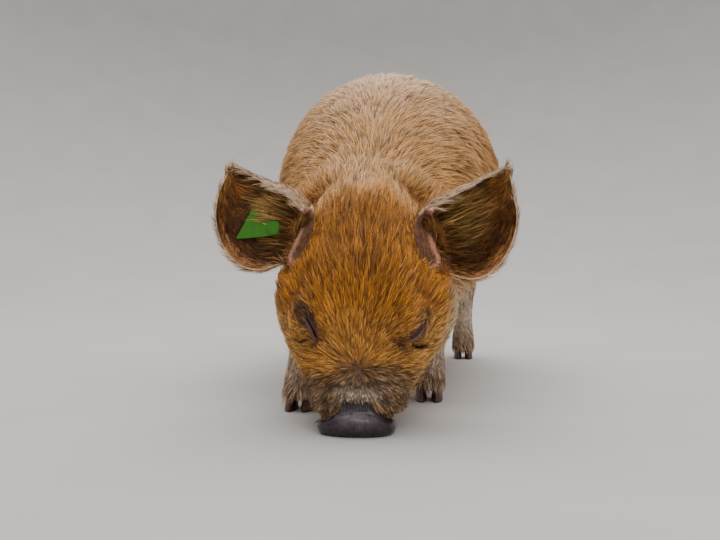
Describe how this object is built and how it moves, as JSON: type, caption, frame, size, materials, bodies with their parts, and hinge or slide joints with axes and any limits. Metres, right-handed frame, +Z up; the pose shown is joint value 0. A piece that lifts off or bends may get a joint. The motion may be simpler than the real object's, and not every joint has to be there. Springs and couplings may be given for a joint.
{
  "type": "kunekune pig",
  "caption": "Life-size still kunekune piglet, rooting with its head down and its snout on the floor, with a plain tag in one ear.",
  "frame": {"origin": "on the floor, under the middle of the piglet's bounding box", "axes": "+Z up, the piglet faces -Y, its left side is +X"},
  "size_m": [0.2197, 0.5121, 0.2858],
  "materials": {
    "face_coat": "short golden orange-brown hair that lies flat",
    "nape_coat": "pale tan-ginger bristly hair",
    "back_coat": "pale tan-ginger bristly hair",
    "leg_coat": "cream-grey hair, dirty lower down",
    "tail_coat": "pale hair with a tuft",
    "ear": "dark brown skin with golden hair",
    "snout_skin": "bare, wet, dark purple-grey skin",
    "eye": "wet dark brown",
    "horn": "dark to reddish brown horn",
    "tag_plastic": "bright green soft plastic"
  },
  "bodies": {
    "root": {"ear_left": "ear", "ear_right": "ear", "ear_tag": "tag_plastic", "ear_tag_stud": "tag_plastic", "eye_left": "eye", "eye_right": "eye", "front_left_claw_inner": "horn", "front_left_claw_outer": "horn", "front_left_dewclaw_inner": "horn", "front_left_dewclaw_outer": "horn", "front_right_claw_inner": "horn", "front_right_claw_outer": "horn", "front_right_dewclaw_inner": "horn", "front_right_dewclaw_outer": "horn", "head": "face_coat", "hind_left_claw_inner": "horn", "hind_left_claw_outer": "horn", "hind_left_dewclaw_inner": "horn", "hind_left_dewclaw_outer": "horn", "hind_right_claw_inner": "horn", "hind_right_claw_outer": "horn", "hind_right_dewclaw_inner": "horn", "hind_right_dewclaw_outer": "horn", "leg_front_left": "leg_coat", "leg_front_right": "leg_coat", "leg_hind_left": "leg_coat", "leg_hind_right": "leg_coat", "neck": "nape_coat", "nose": "snout_skin", "tail": "tail_coat", "torso": "back_coat"}
  },
  "joints": []
}
